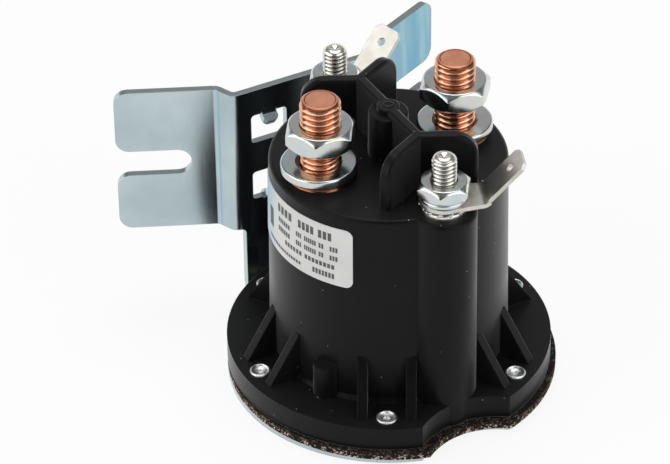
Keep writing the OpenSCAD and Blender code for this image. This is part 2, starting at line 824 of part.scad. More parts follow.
// Bobbin tube with its two end flanges
module coil_bobbin() {
    color("#D8D2BE") difference() {
        rotate_extrude() polygon([[bobbin_bore, bobbin_z], [bobbin_r, bobbin_z],
            [bobbin_r, bobbin_z + bobbin_flange], [bobbin_tube, bobbin_z + bobbin_flange],
            [bobbin_tube, bobbin_top - bobbin_flange], [bobbin_r, bobbin_top - bobbin_flange],
            [bobbin_r, bobbin_top], [bobbin_bore, bobbin_top]]);
        both_ends() translate([-0.9, -bobbin_r - 1, bobbin_top - bobbin_flange - 0.5])
            cube([1.8, bobbin_r + 1 - lead_y + 0.9, bobbin_flange + 1]);
    }
}

// Winding, its outer turns shown as round ridges
module coil_winding() {
    z0 = bobbin_z + bobbin_flange;
    turns = floor((bobbin_top - bobbin_flange - z0) / wire_pitch);
    color("#A8602F") {
        translate([0, 0, z0]) difference() {
            cylinder(r = winding_r - wire_pitch / 2, h = turns * wire_pitch);
            translate([0, 0, -1]) cylinder(r = bobbin_tube + fit, h = turns * wire_pitch + 2);
        }
        rotate_extrude() for (i = [0 : turns - 1])
            translate([winding_r - wire_pitch / 2, z0 + (i + 0.5) * wire_pitch])
                circle(wire_pitch / 2 - 0.01, $fn = 16);
    }
}

// Lead from the winding up to the tail of a coil stud
module coil_lead() {
    lead_z = bobbin_top - bobbin_flange - 0.3;
    color("#B9703C") {
        translate([0, -lead_y, lead_z]) cylinder(r = lead_r, h = lead_top - lead_z);
        translate([0, -lead_y, lead_top]) sphere(lead_r);
        translate([0, -lead_y, lead_top]) rotate([90, 0, 0])
            cylinder(r = lead_r, h = small_y - small_tail_r - lead_y);
    }
}

// Soft stop that the plunger rests on
module plunger_stop() {
    color("#2B2B2B") translate([0, 0, plate_z]) cylinder(r = 5.2, h = stop_t);
}

// Plunger with a pocket for the return spring and a hole for the rod
module plunger() {
    color("#A2A7A8") difference() {
        rotate_extrude() polygon([[0, plunger_foot], [plunger_r - 0.4, plunger_foot],
            [plunger_r, plunger_foot + 0.4], [plunger_r, plunger_head - 0.3],
            [plunger_r - 0.3, plunger_head], [0, plunger_head]]);
        translate([0, 0, plunger_head - spring_pocket])
            cylinder(r = spring_pocket_r, h = spring_pocket + 1);
        translate([0, 0, rod_foot]) cylinder(r = rod_r, h = plunger_head);
    }
}

// Points of a coil spring's wire section at a place along its turns
function spring_ring(k, rings, turns, r, wire, h) =
    let (a = 360 * turns * k / rings, z = wire + (h - 2 * wire) * k / rings)
    [for (j = [0 : 7]) [(r + wire * cos(45 * j)) * cos(a), (r + wire * cos(45 * j)) * sin(a),
        z + wire * sin(45 * j)]];

// Coil spring swept from rings of eight points
module coil_spring(turns, r, wire, h) {
    rings = turns * 18;
    points = [for (k = [0 : rings]) each spring_ring(k, rings, turns, r, wire, h)];
    sides = [for (k = [0 : rings - 1], j = [0 : 7])
        [k * 8 + j, k * 8 + (j + 1) % 8, (k + 1) * 8 + (j + 1) % 8, (k + 1) * 8 + j]];
    ends = [[for (j = [7 : -1 : 0]) j], [for (j = [0 : 7]) rings * 8 + j]];
    polyhedron(points, concat(sides, ends), convexity = 10);
}

// Spring that pushes the plunger back down
module return_spring() {
    foot = plunger_head - spring_pocket;
    color("#C8CCCC") translate([0, 0, foot])
        coil_spring(7, spring_r, 0.4, core_foot + spring_pocket - foot);
}

// Rod pressed into the plunger, grooved for the clip
module push_rod() {
    color("#D0D4D4") rotate_extrude() polygon([[0, rod_foot], [rod_r, rod_foot],
        [rod_r, clip_z], [rod_groove_r, clip_z], [rod_groove_r, clip_z + clip_t],
        [rod_r, clip_z + clip_t], [rod_r, rod_top - 0.4], [rod_r - 0.4, rod_top], [0, rod_top]]);
}

// Collar on the rod that carries the contact spring
module spring_collar() {
    color("#B4B8B8") translate([0, 0, collar_z]) difference() {
        cylinder(r = 4.4, h = collar_t);
        translate([0, 0, -1]) cylinder(r = rod_r, h = collar_t + 2);
    }
}

// Spring that presses the bridge on the stud heads
module contact_spring() {
    color("#C8CCCC") translate([0, 0, collar_z + collar_t])
        coil_spring(3, spring_r, 0.35, bridge_z - bush_flange - collar_z - collar_t);
}

// Flanged insulating bush under and through the bridge
module lower_bush() {
    color("#6B4A33") translate([0, 0, bridge_z - bush_flange]) difference() {
        union() {
            cylinder(r = bush_r, h = bush_flange);
            cylinder(r = bush_spigot, h = bush_flange + bridge_t);
        }
        translate([0, 0, -1]) cylinder(r = bush_bore, h = bush_flange + bridge_t + 2);
    }
}

// Copper disc that joins the two stud heads
module contact_bridge() {
    color("#C9825B") translate([0, 0, bridge_z])
        flat_washer(bridge_r, bush_spigot, bridge_t, 0.3);
}

// Insulating washer between the bridge and the clip
module upper_washer() {
    color("#6B4A33") translate([0, 0, bridge_z + bridge_t]) difference() {
        cylinder(r = bush_r, h = clip_z - bridge_z - bridge_t);
        translate([0, 0, -1]) cylinder(r = bush_bore, h = 4);
    }
}

// Open clip in the rod's groove
module retaining_clip() {
    color("#9DA2A3") translate([0, 0, clip_z]) difference() {
        cylinder(r = 3.4, h = clip_t);
        translate([0, 0, -1]) cylinder(r = rod_groove_r, h = clip_t + 2);
        translate([0, -rod_groove_r * 0.8, -1]) cube([4, rod_groove_r * 1.6, clip_t + 2]);
    }
}

bracket();
gasket();
cap();
label();
rivet(1);  // rivet_1
rivet(2);  // rivet_2
rivet(3);  // rivet_3
rivet(4);  // rivet_4
rivet(5);  // rivet_5
rivet(6);  // rivet_6
large_stud(-large_x, left_nut_z + large_nut_t);  // large_stud_left
large_stud(large_x, right_nut_z + large_nut_t);  // large_stud_right
large_washer(-large_x, left_washer_shift);  // large_washer_left
large_washer(large_x, [0, 0]);  // large_washer_right
large_nut(-large_x, left_nut_z, -5.5);  // large_nut_left
large_nut(large_x, right_nut_z, -11.3);  // large_nut_right
small_stud();  // small_stud_front
rotate(180) small_stud();  // small_stud_back
tooth_washer();  // tooth_washer_front
rotate(180) tooth_washer();  // tooth_washer_back
translate([0, -small_y, spade_z]) spade_terminal(spade_front_turn, spade_front_rise);  // spade_terminal_front
translate([0, small_y, spade_z]) spade_terminal(spade_back_turn, spade_back_rise);  // spade_terminal_back
small_washer();  // small_washer_front
rotate(180) small_washer();  // small_washer_back
small_nut(-7.1);  // small_nut_front
rotate(180) small_nut(-5);  // small_nut_back
coil_can();
fixed_core();
coil_pad();
coil_bobbin();
coil_winding();
coil_lead();  // coil_lead_front
rotate(180) coil_lead();  // coil_lead_back
plunger_stop();
plunger();
return_spring();
push_rod();
spring_collar();
contact_spring();
lower_bush();
contact_bridge();
upper_washer();
retaining_clip();
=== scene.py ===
import json
import math

import bpy
from mathutils import Matrix, Vector


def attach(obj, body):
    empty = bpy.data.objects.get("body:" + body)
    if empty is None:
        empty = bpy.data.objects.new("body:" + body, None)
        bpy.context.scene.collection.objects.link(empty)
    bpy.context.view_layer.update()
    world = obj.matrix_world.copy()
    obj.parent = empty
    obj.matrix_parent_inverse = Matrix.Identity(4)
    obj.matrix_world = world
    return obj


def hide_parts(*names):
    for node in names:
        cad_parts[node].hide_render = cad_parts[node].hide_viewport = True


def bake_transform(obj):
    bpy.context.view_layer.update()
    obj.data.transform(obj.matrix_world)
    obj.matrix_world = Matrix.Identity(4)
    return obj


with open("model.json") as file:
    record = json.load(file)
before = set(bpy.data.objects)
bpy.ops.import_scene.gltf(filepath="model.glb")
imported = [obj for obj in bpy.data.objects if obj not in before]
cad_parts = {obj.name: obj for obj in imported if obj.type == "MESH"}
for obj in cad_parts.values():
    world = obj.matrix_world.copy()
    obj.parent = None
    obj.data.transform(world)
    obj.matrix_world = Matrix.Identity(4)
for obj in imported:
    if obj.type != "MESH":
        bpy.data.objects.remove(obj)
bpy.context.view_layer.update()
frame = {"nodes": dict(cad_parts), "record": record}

# Sizes in millimetres, the same as the solids' but for RIVET_TOP, which is 0.3 mm lower here
MM = 0.001
PLATE_Y, WING_FOLD_X = 34.2, 17.8
BODY_FOOT_R, BODY_TOP_R, BODY_FOOT_Z, CAP_TOP = 23.7, 23.1, 3.2, 50.4
LARGE_X, LARGE_R, LARGE_TIP, COLLAR_R, COLLAR_TOP = 14.65, 3.97, 67.4, 6.2, 51.8
NECK_R, HEAD_R, HEAD_FOOT, ROOF = 4.9, 5.6, 44.45, 47.4
SMALL_Y, SMALL_R, SMALL_TIP, SMALL_DOME = 21.3, 2.415, 62.5, 1.3
SEAT_R, SEAT_TOP, TAIL_R, TAIL_Z = 4.3, 51.4, 1.9, 34.2
LARGE_NUT_AF, LARGE_NUT_T, LEFT_NUT_Z, RIGHT_NUT_Z = 12.5, 4.3, 57.7, 58.5
SMALL_NUT_AF, SMALL_NUT_T, SMALL_NUT_Z = 9.5, 3.2, 53.8
LARGE_WASHER_R, LARGE_WASHER_BORE, LARGE_WASHER_T = 7.4, 4.42, 1.7
SMALL_WASHER_R, SMALL_WASHER_T, SMALL_WASHER_Z = 4.5, 0.8, 53.0
TOOTH_ROOT_R, TOOTH_COUNT = 3.9, 14
FLANGE_TOP, RIVET_TOP, RIVET_CIRCLE_R, RIVET_COUNT = 8.3, 8.7, 28.8, 6
RIVET_R, RIVET_HEAD_R, RIVET_BORE_R, RIVET_FLARE_R = 1.5, 2.05, 1.1, 2.3
LABEL_FACE = 0.16

# The threads, which only the scene has
LARGE_PITCH, LARGE_DEPTH = 1.25, 0.62
SMALL_PITCH, SMALL_DEPTH = 0.87, 0.42

nodes = frame["nodes"]


# Colours and materials

def linear(code):
    """An sRGB hex colour as linear light."""
    parts = [int(code[i:i + 2], 16) / 255 for i in (1, 3, 5)]
    return [p / 12.92 if p <= 0.04045 else ((p + 0.055) / 1.055) ** 2.4 for p in parts] + [1.0]


def amount(value):
    """A plain amount as a ramp's stop, for a ramp that shapes a mask."""
    return [value, value, value, 1.0]


def add_node(tree, kind, inputs=None, stops=None, **settings):
    """Adds a shader node with its settings, its input values or links, and a ramp's stops."""
    made = tree.nodes.new("ShaderNode" + kind)
    for key, value in settings.items():
        setattr(made, key, value)
    for key, value in (inputs or {}).items():
        if isinstance(value, bpy.types.NodeSocket):
            tree.links.new(value, made.inputs[key])
        else:
            made.inputs[key].default_value = value
    if stops:
        ramp = made.color_ramp
        while len(ramp.elements) < len(stops):
            ramp.elements.new(0.5)
        for element, (place, tone) in zip(ramp.elements, stops):
            element.position = place
            element.color = tone
    return made


def bare_material(name):
    """A material with no nodes yet."""
    material = bpy.data.materials.new(name)
    material.use_nodes = True
    material.node_tree.nodes.clear()
    return material, material.node_tree


def new_material(name, relief_mm=0.0, edge_mm=0.0, **shading):
    """A material with fine relief, softened edges and what is even in its shader's own sockets."""
    material, tree = bare_material(name)
    relief = add_node(tree, "Bump", {"Distance": relief_mm * MM, "Strength": 1.0}, name="relief")
    if edge_mm:
        edge = add_node(tree, "Bevel", {"Radius": edge_mm * MM}, samples=6)
        tree.links.new(edge.outputs[0], relief.inputs["Normal"])
    sockets = {key.replace("_", " "): value for key, value in shading.items()}
    shader = add_node(tree, "BsdfPrincipled", {
        **sockets, "Normal": relief.outputs[0]}, name="shader")
    add_node(tree, "OutputMaterial", {"Surface": shader.outputs[0]})
    return material, tree, add_node(tree, "TexCoord").outputs["Object"]


def finish(material, colour, height, roughness=None):
    """Links a material's colour, relief and roughness to its shader."""
    tree = material.node_tree
    shader = tree.nodes["shader"].inputs
    tree.links.new(colour, shader["Base Color"])
    tree.links.new(height, tree.nodes["relief"].inputs["Height"])
    if roughness:
        tree.links.new(roughness, shader["Roughness"])
    return material


def mottled(name, relief_mm, edge_mm, mottle, tones, sheen=None, **shading):
    """A material that one noise gives its colour, its relief and, with sheen, its roughness."""
    material, tree, where = new_material(name, relief_mm, edge_mm, **shading)
    noise = add_node(tree, "TexNoise", {"Vector": where, **mottle}).outputs[0]
    base = add_node(tree, "ValToRGB", {0: noise}, tones).outputs[0]
    rough = None
    if sheen:
        rough = add_node(tree, "MapRange", {
            0: noise, 1: 0.3, 2: 0.7, 3: sheen[0], 4: sheen[1]}).outputs[0]
    return finish(material, base, noise, rough)


def zinc_plated_sheet():
    # Cold-rolled steel with bright blue passivated zinc: a cool satin that mirrors softly and
    # turns from grey to sky blue at the far wing, with duller grey sheared edges
    material, tree, where = new_material("zinc_plated_sheet", 1.0, 0.22, Metallic=1.0)
    place = add_node(tree, "SeparateXYZ", {0: where}).outputs
    clouds = add_node(tree, "TexNoise", {
        "Vector": where, "Scale": 1 / (14 * MM), "Detail": 3.0}).outputs[0]
    base = add_node(tree, "ValToRGB", {0: clouds},
                    [(0.35, linear("#AEBEC3")), (0.65, linear("#BFCDD0"))]).outputs[0]
    # The far wing is blue, in soft upright bands
    sky = add_node(tree, "MapRange", {0: place["X"], 1: 12 * MM, 2: 30 * MM}).outputs[0]
    upright = add_node(tree, "Mapping", {"Vector": where, "Scale": (1.0, 1.0, 0.12)}).outputs[0]
    bands = add_node(tree, "TexNoise", {
        "Vector": upright, "Scale": 1 / (4 * MM), "Detail": 2.0}).outputs[0]
    blue = add_node(tree, "ValToRGB", {0: bands}, [
        (0.38, linear("#6FA9C6")), (0.52, linear("#80B2C7")), (0.64, linear("#97C0CF"))]).outputs[0]
    base = add_node(tree, "Mix", {0: sky, 6: base, 7: blue}, data_type="RGBA").outputs[2]
    # The sheared upper edges of the upright plate and the wings, above 20 mm, are dull
    normal = add_node(tree, "NewGeometry").outputs["Normal"]
    facing = add_node(tree, "SeparateXYZ", {0: normal}).outputs["Z"]
    upward = add_node(tree, "MapRange", {0: facing, 1: 0.8, 2: 0.9}).outputs[0]
    behind = add_node(tree, "MapRange", {
        0: place["Y"], 1: (PLATE_Y - 0.4) * MM, 2: (PLATE_Y - 0.1) * MM, 4: upward}).outputs[0]
    high = add_node(tree, "MapRange", {0: place["Z"], 1: 20 * MM, 2: 21 * MM, 4: behind}).outputs[0]
    base = add_node(tree, "Mix", {
        0: high, 6: base, 7: linear("#8A9290")}, data_type="RGBA").outputs[2]
    # Painted reflection: a streak of deeper blue beside the fold of each wing, standing in for what
    # the curved fold mirrors
    side = add_node(tree, "Math", {0: place["X"]}, operation="ABSOLUTE").outputs[0]
    across = add_node(tree, "MapRange", {0: side, 1: 17 * MM, 2: 19 * MM}).outputs[0]
    painted_fold_reflection = add_node(tree, "ValToRGB", {0: across}, [
        (0.26, amount(0)), (0.34, amount(0.8)), (0.42, amount(0))]).outputs[0]
    base = add_node(tree, "Mix", {
        0: painted_fold_reflection, 6: base, 7: linear("#86BBD2")}, data_type="RGBA").outputs[2]
    # The wings curl by a few degrees over the last 8 mm before the fold, as sheet from a press
    # brake does, and mirror darker things there
    near = add_node(tree, "MapRange", {
        0: side, 1: WING_FOLD_X * MM, 2: (WING_FOLD_X + 7.6) * MM, 3: 1.0, 4: 0.0}).outputs[0]
    curl = add_node(tree, "Math", {0: near, 1: 2.0}, operation="POWER").outputs[0]
    # Rolling marks run upright and are drawn 0.25 mm apart, coarser than real
    stretch = add_node(tree, "Mapping", {"Vector": where, "Scale": (1.0, 1.0, 0.04)}).outputs[0]
    grain = add_node(tree, "TexNoise", {
        "Vector": stretch, "Scale": 1 / (0.25 * MM), "Detail": 3.0}).outputs[0]
    sheen = add_node(tree, "MapRange", {0: grain, 1: 0.3, 2: 0.7, 3: 0.19, 4: 0.25}).outputs[0]
    rough = add_node(tree, "Math", {
        0: high, 1: 0.25, 2: sheen}, operation="MULTIPLY_ADD").outputs[0]
    fine = add_node(tree, "Math", {0: grain, 1: 0.002}, operation="MULTIPLY").outputs[0]
    relief = add_node(tree, "Math", {
        0: curl, 1: -0.56, 2: fine}, operation="MULTIPLY_ADD").outputs[0]
    return finish(material, base, relief, rough)


def zinc_plated_fastener():
    # Cold-formed nuts and stamped washers with thin clear zinc: smooth enough to mirror their
    # neighbours, with a faint play of blue, green and pink and some handling marks
    material, tree, where = new_material("zinc_plated_fastener", 0.0015, 0.12, Metallic=1.0)
    clouds = add_node(tree, "TexNoise", {
        "Vector": where, "Scale": 1 / (5 * MM), "Detail": 3.0}).outputs[0]
    base = add_node(tree, "ValToRGB", {0: clouds}, [
        (0.30, linear("#BFCBD2")), (0.45, linear("#CDD5D6")),
        (0.55, linear("#D1D5CC")), (0.68, linear("#D3CAD3"))]).outputs[0]
    marks = add_node(tree, "TexNoise", {
        "Vector": where, "Scale": 1 / (0.9 * MM), "Detail": 5.0, "Roughness": 0.65}).outputs[0]
    sheen = add_node(tree, "MapRange", {0: marks, 1: 0.3, 2: 0.7, 3: 0.16, 4: 0.23}).outputs[0]
    return finish(material, base, marks, sheen)


def plated_thread():
    # Small rolled studs with bright tin-like zinc, with painted shade darkening the roots of the
    # thread
    material, tree, where = new_material("plated_thread", 0.0015, Metallic=1.0)
    place = add_node(tree, "SeparateXYZ", {0: where}).outputs
    side = add_node(tree, "Math", {0: place["Y"]}, operation="ABSOLUTE").outputs[0]
    across = add_node(tree, "Math", {0: side, 1: SMALL_Y * MM}, operation="SUBTRACT").outputs[0]
    spoke = add_node(tree, "CombineXYZ", {0: place["X"], 1: across}).outputs[0]
    radius = add_node(tree, "VectorMath", {0: spoke}, operation="LENGTH").outputs["Value"]
    # Painted shade: the roots of the thread darken with distance in from the crest, and the domed
    # tip is left out of it
    painted_shade_free_thread = add_node(tree, "MapRange", {
        0: radius, 1: (SMALL_R - 0.4) * MM, 2: (SMALL_R - 0.1) * MM}).outputs[0]
    painted_shade_free_stud = add_node(tree, "MapRange", {
        0: place["Z"], 1: (SMALL_TIP - 1) * MM, 2: (SMALL_TIP - 0.6) * MM, 3: painted_shade_free_thread}).outputs[0]
    base = add_node(tree, "ValToRGB", {0: painted_shade_free_stud},
                    [(0.0, linear("#74736C")), (0.8, linear("#E3E2DA"))]).outputs[0]
    marks = add_node(tree, "TexNoise", {
        "Vector": where, "Scale": 1 / (0.7 * MM), "Detail": 4.0}).outputs[0]
    sheen = add_node(tree, "MapRange", {0: marks, 1: 0.3, 2: 0.7, 3: 0.2, 4: 0.28}).outputs[0]
    return finish(material, base, marks, sheen)


def rolled_rivet_zinc():
    # Zinc-plated rivets with a bright rolled rim and a dished middle that sparkles
    return mottled("rolled_rivet_zinc", 0.001, 0.0,
                   {"Scale": 1 / (0.6 * MM), "Detail": 4.0, "Roughness": 0.6},
                   [(0.35, linear("#DADEDC")), (0.65, linear("#F0F2F0"))], (0.34, 0.44),
                   Metallic=1.0)


def bare_copper():
    # Machined copper with a rolled thread: warm and glossy on the crests, with painted shade in the
    # roots and painted shade and dark reflection round the collar's foot, with a matt pinkish sawn
    # face on the tip
    material, tree, where = new_material("bare_copper", 0.003, Metallic=1.0)
    place = add_node(tree, "SeparateXYZ", {0: where}).outputs
    side = add_node(tree, "Math", {0: place["X"]}, operation="ABSOLUTE").outputs[0]
    across = add_node(tree, "Math", {0: side, 1: LARGE_X * MM}, operation="SUBTRACT").outputs[0]
    spoke = add_node(tree, "CombineXYZ", {0: across, 1: place["Y"]}).outputs[0]
    radius = add_node(tree, "VectorMath", {0: spoke}, operation="LENGTH").outputs["Value"]
    # Painted shade: the roots of the thread darken with distance in from the crest
    painted_root_shade = add_node(tree, "MapRange", {
        0: radius, 1: (LARGE_R - 0.15) * MM, 2: (LARGE_R - 0.6) * MM}).outputs[0]
    tarnish = add_node(tree, "TexNoise", {
        "Vector": where, "Scale": 1 / (2.2 * MM), "Detail": 4.0}).outputs[0]
    base = add_node(tree, "ValToRGB", {0: tarnish},
                    [(0.35, linear("#F8BE9D")), (0.7, linear("#E9AA86"))]).outputs[0]
    base = add_node(tree, "Mix", {
        0: painted_root_shade, 6: base, 7: linear("#A8664A")}, data_type="RGBA").outputs[2]
    tip = add_node(tree, "MapRange", {
        0: place["Z"], 1: (LARGE_TIP - 0.2) * MM, 2: (LARGE_TIP - 0.14) * MM}).outputs[0]
    sawn = add_node(tree, "ValToRGB", {0: tarnish},
                    [(0.35, linear("#C8896B")), (0.65, linear("#D5997C"))]).outputs[0]
    base = add_node(tree, "Mix", {0: tip, 6: base, 7: sawn}, data_type="RGBA").outputs[2]
    # Painted shade and painted dark reflection: the collar is darkened from its foot up to the
    # washer
    height = add_node(tree, "MapRange", {
        0: place["Z"], 1: (CAP_TOP - 1) * MM, 2: (CAP_TOP + 1.5) * MM}).outputs[0]
    painted_collar_shade = add_node(tree, "ValToRGB", {0: height}, [
        (0.25, amount(0)), (0.38, amount(0.9)), (0.56, amount(0.9)), (0.96, amount(0))]).outputs[0]
    base = add_node(tree, "Mix", {
        0: painted_collar_shade, 6: base, 7: linear("#6A3F2D")}, data_type="RGBA").outputs[2]
    scratches = add_node(tree, "TexNoise", {
        "Vector": where, "Scale": 1 / (0.5 * MM), "Detail": 4.0}).outputs[0]
    sheen = add_node(tree, "MapRange", {0: scratches, 1: 0.3, 2: 0.7, 3: 0.15, 4: 0.24}).outputs[0]
    rough = add_node(tree, "Math", {0: tip, 1: 0.3, 2: sheen}, operation="MULTIPLY_ADD").outputs[0]
    return finish(material, base, scratches, rough)


def tinned_brass():
    # Stamped terminal strip with a tin coat: ivory white, satin, lightly scuffed
    material, tree, where = new_material("tinned_brass", 0.0008, 0.1, Metallic=1.0)
    clouds = add_node(tree, "TexNoise", {
        "Vector": where, "Scale": 1 / (3 * MM), "Detail": 3.0}).outputs[0]
    base = add_node(tree, "ValToRGB", {0: clouds},
                    [(0.35, linear("#C6C3B9")), (0.65, linear("#D6D4CC"))]).outputs[0]
    scuffs = add_node(tree, "TexNoise", {
        "Vector": where, "Scale": 1 / (0.6 * MM), "Detail": 5.0, "Roughness": 0.65}).outputs[0]
    sheen = add_node(tree, "MapRange", {0: scuffs, 1: 0.3, 2: 0.7, 3: 0.3, 4: 0.38}).outputs[0]
    return finish(material, base, scuffs, sheen)


def cork_and_rubber():
    # Pressed cork granules in nitrile rubber: crumbly, dark brown peppered with tan and pale
    # pinkish grains of about 0.3 mm, with a painted shadow darkening its top under the flange
    material, tree, where = new_material("cork_and_rubber", 0.12, 0.12,
                                         Roughness=0.85, Specular_IOR_Level=0.2)
    grains = add_node(tree, "TexVoronoi", {"Vector": where, "Scale": 1 / (0.32 * MM)})
    pick = add_node(tree, "SeparateColor", {0: grains.outputs["Color"]}).outputs[0]
    patches = add_node(tree, "TexNoise", {
        "Vector": where, "Scale": 1 / (2.5 * MM), "Detail": 2.0}).outputs[0]
    shift = add_node(tree, "MapRange", {0: patches, 1: 0.3, 2: 0.7, 3: -0.15, 4: 0.15}).outputs[0]
    pick = add_node(tree, "Math", {0: pick, 1: shift}, operation="ADD").outputs[0]
    base = add_node(tree, "ValToRGB", {0: pick}, [
        (0.45, linear("#14100D")), (0.60, linear("#2E221B")), (0.72, linear("#584338")),
        (0.82, linear("#A58871")), (0.95, linear("#DCC8B7"))]).outputs[0]
    height = add_node(tree, "SeparateXYZ", {0: where}).outputs["Z"]
    # Painted shadow: the upper part of the gasket darkens towards the flange that overhangs it
    painted_flange_shadow = add_node(tree, "MapRange", {
        0: height, 1: (BODY_FOOT_Z - 1.1) * MM, 2: (BODY_FOOT_Z - 0.3) * MM, 4: 0.85}).outputs[0]
    base = add_node(tree, "Mix", {
        0: painted_flange_shadow, 6: base, 7: linear("#14100E")}, data_type="RGBA").outputs[2]
    return finish(material, base, grains.outputs["Distance"])


def moulded_nylon():
    # Black glass-filled nylon, injection moulded: a deep satin black that pales only where it
    # is seen edge on, softened edges that catch a grey line, and a few specks of pale dust
    material, tree, where = new_material("moulded_nylon", 0.006, 0.35,
                                         IOR=1.5, Specular_IOR_Level=0.11,
                                         Sheen_Weight=0.4, Sheen_Roughness=0.35)
    clouds = add_node(tree, "TexNoise", {
        "Vector": where, "Scale": 1 / (9 * MM), "Detail": 4.0}).outputs[0]
    base = add_node(tree, "ValToRGB", {0: clouds},
                    [(0.35, linear("#0A0A0A")), (0.7, linear("#0F0E0E"))]).outputs[0]
    # Half of the cells, 2.5 mm wide, hold a speck of dust
    specks = add_node(tree, "TexVoronoi", {"Vector": where, "Scale": 1 / (2.5 * MM)}).outputs
    pick = add_node(tree, "SeparateColor", {0: specks["Color"]}).outputs[0]
    chosen = add_node(tree, "MapRange", {0: pick, 1: 0.5, 2: 0.52}).outputs[0]
    dust = add_node(tree, "MapRange", {
        0: specks["Distance"], 1: 0.066, 2: 0.036, 4: chosen}).outputs[0]
    base = add_node(tree, "Mix", {
        0: dust, 6: base, 7: linear("#8A8680")}, data_type="RGBA").outputs[2]
    grain = add_node(tree, "TexNoise", {
        "Vector": where, "Scale": 1 / (0.3 * MM), "Detail": 3.0}).outputs[0]
    sheen = add_node(tree, "MapRange", {0: clouds, 1: 0.3, 2: 0.7, 3: 0.32, 4: 0.38}).outputs[0]
    return finish(material, base, grain, sheen)


def label_film():
    # White printed polyester film: smooth and slightly glossy, with a pale blue field at its
    # far end as in the photograph
    material, tree, where = new_material("label_film", 0.004, IOR=1.5, Roughness=0.38)
    place = add_node(tree, "SeparateXYZ", {0: where}).outputs
    clouds = add_node(tree, "TexNoise", {"Vector": where, "Scale": 1 / (6 * MM)}).outputs[0]
    base = add_node(tree, "ValToRGB", {0: clouds},
                    [(0.3, linear("#D8D8D4")), (0.7, linear("#E2E2DE"))]).outputs[0]
    field = add_node(tree, "MapRange", {0: place["Y"], 1: 1 * MM, 2: 6 * MM}).outputs[0]
    base = add_node(tree, "Mix", {
        0: field, 6: base, 7: linear("#BCD1DB")}, data_type="RGBA").outputs[2]
    ripple = add_node(tree, "TexNoise", {"Vector": where, "Scale": 1 / (1.2 * MM)}).outputs[0]
    return finish(material, base, ripple)


def printing_ink():
    # Dark grey ink, printed thinly enough to look mottled
    return mottled("printing_ink", 0.001, 0.0, {"Scale": 1 / (0.5 * MM), "Detail": 3.0},
                   [(0.3, linear("#3C3C3A")), (0.7, linear("#6A6A68"))], IOR=1.5, Roughness=0.5)


def soft_iron():
    # Turned and drawn magnet iron with thin dull zinc: plain grey with fine tool marks
    return mottled("soft_iron", 0.006, 0.1, {"Scale": 1 / (1 * MM), "Detail": 4.0},
                   [(0.3, linear("#8D9395")), (0.7, linear("#9DA3A5"))], (0.3, 0.45), Metallic=1.0)


def dark_rubber():
    # Moulded rubber pad: nearly black and dull
    return mottled("dark_rubber", 0.02, 0.1, {"Scale": 1 / (0.8 * MM), "Detail": 3.0},
                   [(0.3, linear("#252525")), (0.7, linear("#343332"))], Roughness=0.8)


def bobbin_nylon():
    # Natural nylon: milky, warm white and satin
    material, tree, where = new_material("bobbin_nylon", 0.01, 0.1, IOR=1.53, Roughness=0.45,
                                         Subsurface_Weight=0.1, Subsurface_Scale=1 * MM)
    clouds = add_node(tree, "TexNoise", {
        "Vector": where, "Scale": 1 / (8 * MM), "Detail": 3.0}).outputs[0]
    base = add_node(tree, "ValToRGB", {0: clouds},
                    [(0.3, linear("#D2CBB6")), (0.7, linear("#E0DAC8"))]).outputs[0]
    grain = add_node(tree, "TexNoise", {
        "Vector": where, "Scale": 1 / (0.6 * MM), "Detail": 3.0}).outputs[0]
    return finish(material, base, grain)


def enamelled_wire():
    # Copper wire under clear enamel: a deep glossy red brown
    return mottled("enamelled_wire", 0.006, 0.0, {"Scale": 1 / (1.2 * MM), "Detail": 3.0},
                   [(0.3, linear("#9A5429")), (0.7, linear("#B46A38"))], (0.18, 0.3), Metallic=1.0)


def spring_steel():
    # Hard drawn steel: bright and smooth
    return mottled("spring_steel", 0.002, 0.0, {"Scale": 1 / (0.5 * MM), "Detail": 3.0},
                   [(0.3, linear("#BBC0C0")), (0.7, linear("#D2D6D6"))], (0.12, 0.24), Metallic=1.0)


def phenolic_insulator():
    # Pressed phenolic with a paper filler: brown, dull and faintly fibrous
    return mottled("phenolic_insulator", 0.015, 0.1, {"Scale": 1 / (0.7 * MM), "Detail": 5.0},
                   [(0.3, linear("#5E4130")), (0.7, linear("#7A563D"))], IOR=1.55, Roughness=0.6)


finishes = {
    "zinc_plate": zinc_plated_sheet(), "nut_metal": zinc_plated_fastener(),
    "stud_metal": plated_thread(), "rivet_metal": rolled_rivet_zinc(), "copper": bare_copper(),
    "tin_plate": tinned_brass(), "cork_rubber": cork_and_rubber(),
    "black_moulding": moulded_nylon(), "label_film": label_film(), "soft_iron": soft_iron(),
    "dark_rubber": dark_rubber(), "bobbin_plastic": bobbin_nylon(),
    "coil_wire": enamelled_wire(), "spring_steel": spring_steel(),
    "insulator": phenolic_insulator(),
}

for part in frame["record"]["subparts"]:
    carried = nodes[part["node"]]
    carried.data.materials.clear()
    carried.data.materials.append(finishes[part["material_slot"]])


# Modelling steps that several pieces share

def choose_only(piece):
    """Leaves one object selected and active."""
    bpy.ops.object.select_all(action="DESELECT")
    piece.select_set(True)
    bpy.context.view_layer.objects.active = piece


def draw_line(name, points):
    """Draws a line through points in millimetres, by extruding one corner from each to the next."""
    bpy.ops.object.select_all(action="DESELECT")
    points = [Vector(p) * MM for p in points]
    bpy.ops.mesh.primitive_plane_add(size=MM, location=points[0])
    piece = bpy.context.object
    piece.name = name
    piece.data.name = name
    bpy.ops.object.transform_apply(location=True, rotation=True, scale=True)
    bpy.ops.object.mode_set(mode="EDIT")
    bpy.ops.mesh.select_all(action="SELECT")
    bpy.ops.mesh.merge(type="CENTER")
    for here, there in zip(points, points[1:]):
        bpy.ops.mesh.extrude_region_move(TRANSFORM_OT_translate={"value": there - here})
    bpy.ops.object.mode_set(mode="OBJECT")
    return piece


